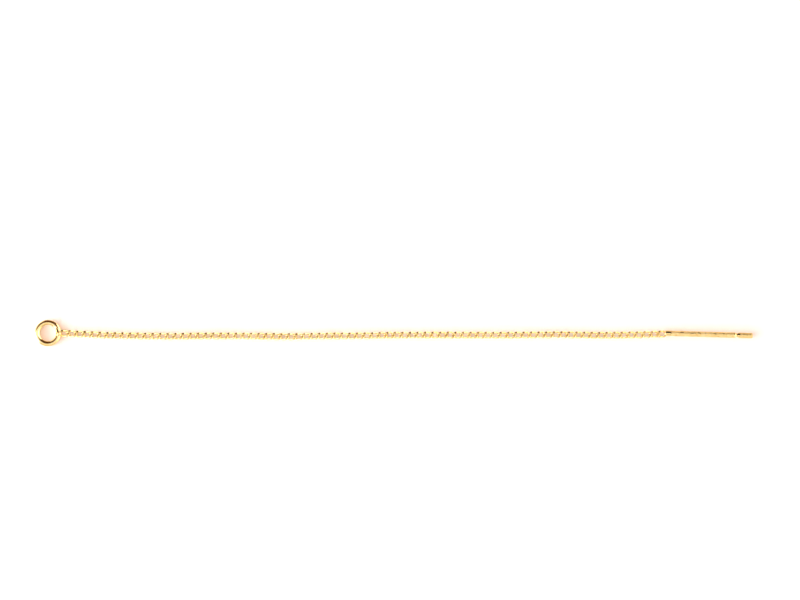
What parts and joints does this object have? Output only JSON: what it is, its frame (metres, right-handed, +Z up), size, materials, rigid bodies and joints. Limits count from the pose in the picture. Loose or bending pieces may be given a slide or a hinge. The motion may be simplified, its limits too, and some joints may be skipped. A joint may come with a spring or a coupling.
{
  "type": "chain threader earring",
  "caption": "Threader earring lying flat: a plain ring of oval wire, a fine curb chain and a straight ear pin with a groove near its tip.",
  "frame": {"origin": "on the surface that the earring lies on, under the middle of its box", "axes": "+X along the earring from the ring to the tip of the pin, +Z up from the surface"},
  "size_m": [0.1002, 0.0036, 0.0007],
  "materials": {
    "gold_plating": "polished gold plating over brass"
  },
  "bodies": {
    "root": {"ring": "gold_plating", "chain": "gold_plating", "ear_pin": "gold_plating"}
  },
  "joints": []
}
